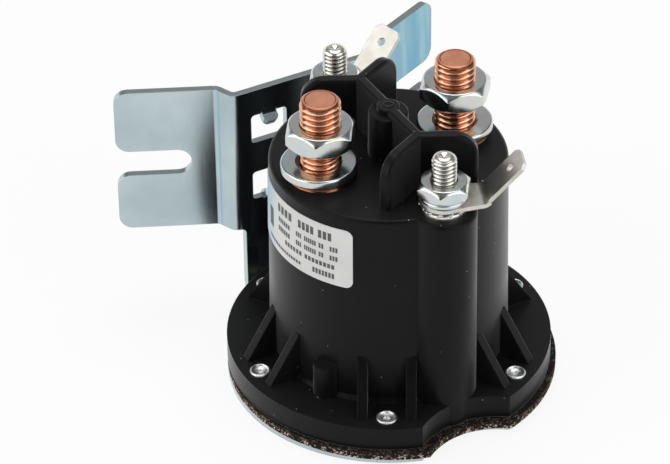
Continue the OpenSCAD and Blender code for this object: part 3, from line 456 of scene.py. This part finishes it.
def tidy_mesh(piece):
    """Joins doubled corners and turns every face outwards."""
    choose_only(piece)
    bpy.ops.object.mode_set(mode="EDIT")
    bpy.ops.mesh.select_all(action="SELECT")
    bpy.ops.mesh.remove_doubles(threshold=0.0005 * MM)
    bpy.ops.mesh.normals_make_consistent(inside=False)
    bpy.ops.object.mode_set(mode="OBJECT")
    return piece


def wind(piece, steps=64, pitch=0.0, turns=1):
    """Turns a line about the upright axis through the origin, or winds it into a thread."""
    choose_only(piece)
    screw = piece.modifiers.new("turn", "SCREW")
    screw.axis = "Z"
    screw.angle = 2 * math.pi
    screw.screw_offset = pitch * MM
    screw.iterations = turns
    screw.steps = steps
    screw.render_steps = steps
    screw.use_merge_vertices = pitch == 0
    screw.merge_threshold = 0.0005 * MM
    bpy.ops.object.modifier_apply(modifier="turn")
    return tidy_mesh(piece)


def turned(name, profile, steps=64):
    """A lathe-turned shape from (radius, height) points."""
    return wind(draw_line(name, [(r, 0, z) for r, z in profile]), steps)


def slice_flat(piece, z, keep_above):
    """Cuts a piece at a height, closes the cut and keeps what is above or below it."""
    choose_only(piece)
    bpy.ops.object.mode_set(mode="EDIT")
    bpy.ops.mesh.select_all(action="SELECT")
    bpy.ops.mesh.bisect(plane_co=(0, 0, z * MM), plane_no=(0, 0, 1), use_fill=True,
                        threshold=0.0001 * MM, clear_inner=keep_above, clear_outer=not keep_above)
    bpy.ops.object.mode_set(mode="OBJECT")


def carve(piece, tool, operation):
    """Cuts a piece with another, or keeps only what both share, and takes the tool away."""
    choose_only(piece)
    cut = piece.modifiers.new("cut", "BOOLEAN")
    cut.operation = operation
    cut.solver = "EXACT"
    cut.object = tool
    bpy.ops.object.modifier_apply(modifier="cut")
    bpy.data.objects.remove(tool)
    return tidy_mesh(piece)


def soften(piece, width, angle=30):
    """Rounds the edges of a piece that are sharper than an angle, by a width in millimetres."""
    choose_only(piece)
    edge = piece.modifiers.new("edge", "BEVEL")
    edge.width = width * MM
    edge.segments = 2
    edge.limit_method = "ANGLE"
    edge.angle_limit = math.radians(angle)
    edge.use_clamp_overlap = True
    bpy.ops.object.modifier_apply(modifier="edge")
    return piece


def join(name, pieces):
    """Makes one object of several shells."""
    bpy.ops.object.select_all(action="DESELECT")
    for piece in pieces:
        piece.select_set(True)
    bpy.context.view_layer.objects.active = pieces[0]
    bpy.ops.object.join()
    pieces[0].name = name
    return pieces[0]


def put(piece, x, y, z, turn=0.0):
    """Turns a piece and sets it in its place in millimetres, and keeps both in its mesh."""
    spot = Matrix.Translation(Vector((x, y, z)) * MM)
    piece.matrix_world = spot @ Matrix.Rotation(math.radians(turn), 4, "Z")
    choose_only(piece)
    bpy.ops.object.transform_apply(location=True, rotation=True, scale=True)
    return piece


def copy_of(piece, name):
    """A copy with a mesh of its own."""
    twin = piece.copy()
    twin.data = piece.data.copy()
    twin.name = name
    twin.data.name = name
    bpy.context.scene.collection.objects.link(twin)
    return twin


def dress(piece, slot, replaced=None, body="housing", coat=None, angle=32):
    """Gives a piece its smooth faces, its material and its body, and hides the solid that it stands
    for.
    """
    choose_only(piece)
    bpy.ops.object.shade_smooth_by_angle(angle=math.radians(angle))
    piece.data.materials.clear()
    piece.data.materials.append(coat or finishes[slot])
    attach(piece, body)
    if replaced:
        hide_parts(replaced)


# Studs with their rolled threads

def rolled_thread(name, r, pitch, depth, foot, top, tip_profile):
    """A threaded rod from foot to top, kept inside a turned shape that gives its tip."""
    # One turn of the thread, as radii along a share of its pitch: a flat root, eased at both
    # sides, two even flanks and a short crest
    tooth = [(r - depth, 0.0), (r - depth, 0.10), (r - 0.85 * depth, 0.18),
             (r - 0.12 * depth, 0.42), (r, 0.5), (r, 0.62), (r - 0.12 * depth, 0.70),
             (r - 0.85 * depth, 0.94), (r - depth, 1.0)]
    # The thread starts about 1.5 turns below the foot and ends above the top, and both ends are
    # sliced flat; the odd share of a turn keeps its corners off the cuts
    start = foot - 1.513 * pitch
    turns = math.ceil((top - foot) / pitch) + 3
    line = draw_line(name, [(x, 0, start + share * pitch) for x, share in tooth])
    rod = wind(line, 48, pitch, turns)
    slice_flat(rod, foot, True)
    slice_flat(rod, top + 0.2, False)
    tidy_mesh(rod)
    return carve(rod, turned(name + "_tip", tip_profile, 96), "INTERSECT")


def arc(cx, cz, r, start, end, steps):
    """Points of an arc in a profile."""
    angles = [math.radians(start + (end - start) * i / steps) for i in range(steps + 1)]
    return [(cx + r * math.cos(angle), cz + r * math.sin(angle)) for angle in angles]


def power_stud():
    """Copper stud with its collar, its neck in the roof and its contact head below."""
    foot = COLLAR_TOP - 0.1
    # The tip as radii and drops from its top: a worn edge, a fine ring cut into the face, the face
    tip = [(LARGE_R + 0.01, 1.0), (3.88, 0.66), (3.66, 0.36), (3.4, 0.16), (3.16, 0.04), (3.1, 0),
           (3.04, 0), (2.98, 0.22), (2.9, 0.22), (2.84, 0.08), (0, 0.08)]
    rod = rolled_thread("power_stud", LARGE_R, LARGE_PITCH, LARGE_DEPTH, foot, LARGE_TIP, [
        (0, foot - 1), (LARGE_R + 0.01, foot - 1)] + [(r, LARGE_TIP - drop) for r, drop in tip])
    collar = turned("collar", [
        (0, HEAD_FOOT), (HEAD_R - 0.5, HEAD_FOOT), (HEAD_R, HEAD_FOOT + 0.5), (HEAD_R, ROOF),
        (NECK_R, ROOF), (NECK_R, CAP_TOP), (COLLAR_R + 0.25, CAP_TOP),
        (COLLAR_R + 0.1, CAP_TOP + 0.15), (COLLAR_R, CAP_TOP + 0.4),
        (COLLAR_R, COLLAR_TOP - 0.3), (COLLAR_R - 0.3, COLLAR_TOP), (0, COLLAR_TOP)], 72)
    return join("power_stud", [rod, collar])


def coil_stud():
    """Small plated stud with its round seat, its domed tip and its tail in the column."""
    foot = SEAT_TOP - 0.1
    dome = arc(SMALL_R - SMALL_DOME, SMALL_TIP - SMALL_DOME, SMALL_DOME, 0, 90, 6)
    dimple = [(0.75, SMALL_TIP), (0.2, SMALL_TIP - 0.4), (0, SMALL_TIP - 0.4)]
    rod = rolled_thread("coil_stud", SMALL_R, SMALL_PITCH, SMALL_DEPTH, foot, SMALL_TIP,
                        [(0, foot - 1), (SMALL_R, foot - 1)] + dome + dimple)
    seat = turned("seat", [
        (0, TAIL_Z), (TAIL_R, TAIL_Z), (TAIL_R, CAP_TOP), (SEAT_R, CAP_TOP),
        (SEAT_R, SEAT_TOP - 0.2), (SEAT_R - 0.07, SEAT_TOP - 0.07),
        (SEAT_R - 0.2, SEAT_TOP), (0, SEAT_TOP)], 64)
    return join("coil_stud", [rod, seat])


stud = power_stud()
twin = copy_of(stud, "power_stud_right")
stud.name = "power_stud_left"
dress(put(stud, -LARGE_X, 0, 0), "copper", "large_stud_left", angle=40)
dress(put(twin, LARGE_X, 0, 0, 70), "copper", "large_stud_right", angle=40)

stud = coil_stud()
twin = copy_of(stud, "coil_stud_back")
stud.name = "coil_stud_front"
dress(put(stud, 0, -SMALL_Y, 0), "stud_metal", "small_stud_front", angle=40)
dress(put(twin, 0, SMALL_Y, 0, 130), "stud_metal", "small_stud_back", angle=40)


# Nuts and washers

def pressed_nut(name, across, thick, bore, flat_r):
    """A hex nut with both faces chamfered to a circle, a bore flared at both ends, soft corners."""
    corner = across / 2 / math.cos(math.radians(30))
    drop = corner - flat_r
    bpy.ops.object.select_all(action="DESELECT")
    bpy.ops.mesh.primitive_cylinder_add(
        vertices=6, radius=corner * MM, depth=thick * MM,
        location=(0, 0, thick / 2 * MM), rotation=(0, 0, math.radians(30)))
    nut = bpy.context.object
    nut.name = name
    nut.data.name = name
    bpy.ops.object.transform_apply(location=True, rotation=True, scale=True)
    drum = turned(name + "_chamfer", [
        (0, 0), (flat_r, 0), (corner + 0.01, drop), (corner + 0.01, thick - drop),
        (flat_r, thick), (0, thick)], 96)
    carve(nut, drum, "INTERSECT")
    drill = turned(name + "_bore", [
        (0, -1), (bore + 1.3, -1), (bore, 0.35), (bore, thick - 0.35),
        (bore + 1.3, thick + 1), (0, thick + 1)], 72)
    carve(nut, drill, "DIFFERENCE")
    return soften(nut, 0.09, 24)


def flat_washer(name, r, bore, thick, edge):
    """A stamped washer with a rounded upper rim."""
    return turned(name, arc(r - edge, thick - edge, edge, 0, 90, 4) + [
        (bore + 0.1, thick), (bore, thick - 0.1), (bore, 0),
        (r - 0.15, 0), (r, 0.15), (r, thick - edge)], 96)


def toothed_washer():
    """A lock washer whose rim is cut into teeth, each twisted out of the flat."""
    bore, low, high = 2.55, 0.15, 0.65
    tooth_size, tooth_twist = (1.2, 0.95, 0.45), 22
    ring = turned("lock_washer", [
        (bore, low), (TOOTH_ROOT_R, low), (TOOTH_ROOT_R, high), (bore, high), (bore, low)], 84)
    outward = Matrix.Translation(Vector((TOOTH_ROOT_R + 0.25, 0, (low + high) / 2)) * MM)
    twist = Matrix.Rotation(math.radians(tooth_twist), 4, "X")
    teeth = [ring]
    for i in range(TOOTH_COUNT):
        bpy.ops.object.select_all(action="DESELECT")
        bpy.ops.mesh.primitive_cube_add(size=MM)
        tooth = bpy.context.object
        bpy.ops.object.mode_set(mode="EDIT")
        bpy.ops.transform.resize(value=tooth_size)
        bpy.ops.object.mode_set(mode="OBJECT")
        around = Matrix.Rotation(math.radians(i * 360 / TOOTH_COUNT), 4, "Z")
        tooth.matrix_world = around @ outward @ twist
        bpy.ops.object.transform_apply(location=True, rotation=True, scale=True)
        teeth.append(tooth)
    return soften(join("lock_washer", teeth), 0.05)


nut = pressed_nut("power_nut", LARGE_NUT_AF, LARGE_NUT_T, LARGE_R - 0.25, LARGE_NUT_AF / 2 - 0.3)
for name, x, z, turn in (("left", -LARGE_X, LEFT_NUT_Z, -5.5),
                         ("right", LARGE_X, RIGHT_NUT_Z, -11.3)):
    piece = put(copy_of(nut, "power_nut_" + name), x, 0, z, turn)
    dress(piece, "nut_metal", "large_nut_" + name)
bpy.data.objects.remove(nut)

nut = pressed_nut("coil_nut", SMALL_NUT_AF, SMALL_NUT_T, SMALL_R - 0.15, SMALL_NUT_AF / 2 - 0.4)
for name, y, turn in (("front", -SMALL_Y, -7.1), ("back", SMALL_Y, -5)):
    piece = put(copy_of(nut, "coil_nut_" + name), 0, y, SMALL_NUT_Z, turn)
    dress(piece, "nut_metal", "small_nut_" + name)
bpy.data.objects.remove(nut)

# The left washer lies off centre on its collar
washer = flat_washer("power_washer", LARGE_WASHER_R, LARGE_WASHER_BORE, LARGE_WASHER_T, 0.45)
for name, x, y in (("left", -LARGE_X - 0.36, 0.19), ("right", LARGE_X, 0)):
    piece = put(copy_of(washer, "power_washer_" + name), x, y, COLLAR_TOP)
    dress(piece, "nut_metal", "large_washer_" + name)
bpy.data.objects.remove(washer)

washer = flat_washer("coil_washer", SMALL_WASHER_R, SMALL_R + 0.1, SMALL_WASHER_T, 0.25)
for name, y in (("front", -SMALL_Y), ("back", SMALL_Y)):
    piece = put(copy_of(washer, "coil_washer_" + name), 0, y, SMALL_WASHER_Z)
    dress(piece, "nut_metal", "small_washer_" + name)
bpy.data.objects.remove(washer)

washer = toothed_washer()
for name, y in (("front", -SMALL_Y), ("back", SMALL_Y)):
    piece = put(copy_of(washer, "lock_washer_" + name), 0, y, SEAT_TOP)
    dress(piece, "nut_metal", "tooth_washer_" + name)
bpy.data.objects.remove(washer)


# Rivets

def set_rivet():
    """A rivet with a rolled rim and a dished middle on top, and a hollow end flared in the base."""
    rim = RIVET_TOP - 0.2
    dish = [(0, RIVET_TOP - 0.9), (0.5, RIVET_TOP - 0.9), (0.7, RIVET_TOP - 0.5),
            (1.2, RIVET_TOP - 0.4), (1.55, rim)]
    roll = arc(1.78, rim, 0.2, 180, 90, 4)[1:] + arc(RIVET_HEAD_R - 0.3, rim - 0.1, 0.3, 90, 0, 5)
    shank = [(RIVET_HEAD_R, FLANGE_TOP), (RIVET_R, FLANGE_TOP), (RIVET_R, 0.8), (RIVET_FLARE_R, 0)]
    hollow = [(RIVET_FLARE_R - 0.4, 0), (RIVET_BORE_R, 0.8), (RIVET_BORE_R, 5.5), (0, 6.2)]
    return turned("rivet", dish + roll + shank + hollow, 48)


rivet = set_rivet()
for i in range(RIVET_COUNT):
    turn = i * 360 / RIVET_COUNT
    x = RIVET_CIRCLE_R * math.cos(math.radians(turn))
    y = RIVET_CIRCLE_R * math.sin(math.radians(turn))
    name = "rivet_%d" % (i + 1)
    dress(put(copy_of(rivet, "set_" + name), x, y, 0, turn), "rivet_metal", name)
bpy.data.objects.remove(rivet)


# Springs, copied from their solids

def squashing_spring(name, node):
    """A smoothed copy of a solid spring, which hides the solid."""
    spring = bpy.data.objects.new(name, nodes[node].data.copy())
    spring.data.name = name
    bpy.context.scene.collection.objects.link(spring)
    tidy_mesh(spring)
    bpy.ops.object.shade_smooth_by_angle(angle=math.radians(50))
    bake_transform(spring)
    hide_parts(node)


squashing_spring("plunger_spring", "return_spring")
squashing_spring("bridge_spring", "contact_spring")


# Print on the label, as plain blocks in the rows where the real one has words

def ink_radius(z):
    """Radius of the ink at a height: the tapered body, the label's face and 0.02 mm of ink."""
    share = (z - BODY_FOOT_Z) / (CAP_TOP - BODY_FOOT_Z)
    return BODY_FOOT_R - (BODY_FOOT_R - BODY_TOP_R) * share + LABEL_FACE + 0.02


def printed_block(start, end, foot, top):
    """One block of ink, from an upright edge that is spun along the label."""
    a = math.radians(start)
    block = draw_line("ink", [
        (ink_radius(z) * math.cos(a), ink_radius(z) * math.sin(a), z) for z in (foot, top)])
    bpy.ops.object.mode_set(mode="EDIT")
    bpy.ops.mesh.select_all(action="SELECT")
    bpy.ops.mesh.spin(steps=2, angle=math.radians(end - start), center=(0, 0, 0), axis=(0, 0, 1))
    bpy.ops.object.mode_set(mode="OBJECT")
    return block


def label_print():
    """Rows of blocks, in degrees round the body: (foot, top, [(start, end, how many), ...])."""
    small_words = [(178.5, 189, 6), (193, 197, 3), (198.5, 206, 6),
                   (207.5, 210.5, 2), (213.5, 218, 3)]
    rows = [
        (44.2, 46.0, [(179, 192, 4), (195.5, 206, 4), (208, 216, 3)]),
        (41.9, 43.0, small_words),
        (39.9, 41.0, small_words),
        (37.9, 38.9, [(185, 198, 6), (199.5, 217, 8)]),
        (35.7, 36.9, [(204, 216.5, 7)]),
        (35.7, 36.4, [(167, 197, 16)]),
    ]
    # Each block of a word fills 72% of its step, and a gap the rest
    blocks = []
    for foot, top, words in rows:
        for start, end, count in words:
            step = (end - start) / count
            blocks += [printed_block(start + i * step, start + (i + 0.72) * step, foot, top)
                       for i in range(count)]
    # A tall block stands to the left of the middle rows
    blocks.append(printed_block(170.5, 175.5, 38.4, 42.8))
    return join("label_print", blocks)


dress(label_print(), "label_film", coat=printing_ink())


# Floor, light and camera

def seen_directly(tree):
    """1 for what the eye, a mirror or a glass shows, 0 for what only lights the relay."""
    path = add_node(tree, "LightPath").outputs
    seen = add_node(tree, "Math", {
        0: path["Is Camera Ray"], 1: path["Is Glossy Ray"]}, operation="MAXIMUM").outputs[0]
    return add_node(tree, "Math", {
        0: seen, 1: path["Is Transmission Ray"]}, operation="MAXIMUM").outputs[0]


def studio_white():
    # Matt white board that shows as plain white, and still keeps a soft shadow
    material, tree = bare_material("studio_white")
    board = add_node(tree, "BsdfDiffuse", {"Color": linear("#F2F2F2")}).outputs[0]
    white = add_node(tree, "Emission", {"Color": (1, 1, 1, 1), "Strength": 1.0}).outputs[0]
    # The other 12% keeps the relay's shadow on the floor
    share = add_node(tree, "Math", {
        0: seen_directly(tree), 1: 0.88}, operation="MULTIPLY").outputs[0]
    mixed = add_node(tree, "MixShader", {0: share, 1: board, 2: white}).outputs[0]
    add_node(tree, "OutputMaterial", {"Surface": mixed})
    return material


def even_tone(name, colour):
    # Plain card or cloth, evenly lit, that shows one tone all over
    material, tree = bare_material(name)
    card = add_node(tree, "Emission", {"Color": linear(colour), "Strength": 1.0}).outputs[0]
    add_node(tree, "OutputMaterial", {"Surface": card})
    return material


def floor():
    """A wide board under the relay."""
    bpy.ops.object.select_all(action="DESELECT")
    bpy.ops.mesh.primitive_plane_add(size=6)
    board = bpy.context.object
    board.name = "floor"
    board.data.materials.append(studio_white())


def hung_board(name, place, size, colour):
    """A plain card or cloth that hangs in the studio and faces the relay."""
    bpy.ops.object.select_all(action="DESELECT")
    facing = Vector(place).to_track_quat("Z", "Y").to_euler()
    bpy.ops.mesh.primitive_plane_add(size=size, location=place, rotation=facing)
    board = bpy.context.object
    board.name = name
    board.data.materials.append(even_tone(name, colour))
    return board


def dim_tent():
    """A wide dim tent over the studio, so that dark mouldings stay dark on top."""
    bpy.ops.object.select_all(action="DESELECT")
    bpy.ops.mesh.primitive_cone_add(vertices=48, radius1=2.4, radius2=0, depth=1.8,
                                    location=(0, 0, 1.9), end_fill_type="NOTHING")
    screen = bpy.context.object
    screen.name = "dim_tent"
    screen.data.materials.append(even_tone("tent_cloth", "#6E7072"))


def white_room():
    """The world: white to the eye and in reflections, and a softer even light on the surfaces."""
    world = bpy.data.worlds.new("white_room")
    bpy.context.scene.world = world
    world.use_nodes = True
    tree = world.node_tree
    tree.nodes.clear()
    strength = add_node(tree, "MapRange", {0: seen_directly(tree), 3: 0.55, 4: 1.0}).outputs[0]
    light = add_node(tree, "Background", {"Color": (1, 1, 1, 1), "Strength": strength}).outputs[0]
    add_node(tree, "OutputWorld", {"Surface": light})


def soft_lamp(name, place, size, power):
    """A square softbox that faces the middle of the relay."""
    lamp = bpy.data.lights.new(name, "AREA")
    lamp.shape = "SQUARE"
    lamp.size = size
    lamp.energy = power
    holder = bpy.data.objects.new(name, lamp)
    holder.location = place
    middle = Vector((0, 0, 0.03))
    holder.rotation_euler = (middle - Vector(place)).to_track_quat("-Z", "Y").to_euler()
    bpy.context.scene.collection.objects.link(holder)


def camera():
    """Seen from the front left and above, with place and lens solved from the photograph."""
    turn, rise, roll = math.radians(-28.078), math.radians(35.52), math.radians(-0.729)
    back = Vector((
        math.sin(turn) * math.cos(rise), -math.cos(turn) * math.cos(rise), math.sin(rise)))
    level = Vector((math.cos(turn), math.sin(turn), 0))
    upright = back.cross(level)
    right = math.cos(roll) * level + math.sin(roll) * upright
    up = math.cos(roll) * upright - math.sin(roll) * level
    lens = bpy.data.cameras.new("camera")
    lens.sensor_fit = "HORIZONTAL"
    lens.sensor_width = 36
    lens.lens = 188.24
    lens.clip_start = 0.01
    lens.clip_end = 20
    seer = bpy.data.objects.new("camera", lens)
    place = Matrix((right, up, back)).transposed().to_4x4()
    place.translation = Vector((-0.27089, -0.48562, 0.42870))
    seer.matrix_world = place
    bpy.context.scene.collection.objects.link(seer)
    bpy.context.scene.camera = seer


floor()
# Level metal mirrors the grey card, high behind the relay
card = hung_board("grey_card", (0.575, 1.077, 0.9), 0.75, "#A9ABAD")
dim_tent()
# Round metal mirrors the dark cloth behind the camera as a dark band between two lights
cloth = hung_board("dark_cloth", (-1.03, -1.23, 1.0), 1.3, "#4A4A4A")
white_room()
soft_lamp("overhead", (0.17, 0.26, 1.3), 0.9, 8.6)
soft_lamp("left", (-1.13, -0.1, 0.74), 0.9, 4.8)
soft_lamp("front_right", (0.48, -1.03, 0.74), 1.2, 6.8)
soft_lamp("back_left", (-1.15, 0.68, 0.9), 0.8, 3.2)
camera()
bpy.context.scene.view_settings.view_transform = "Standard"
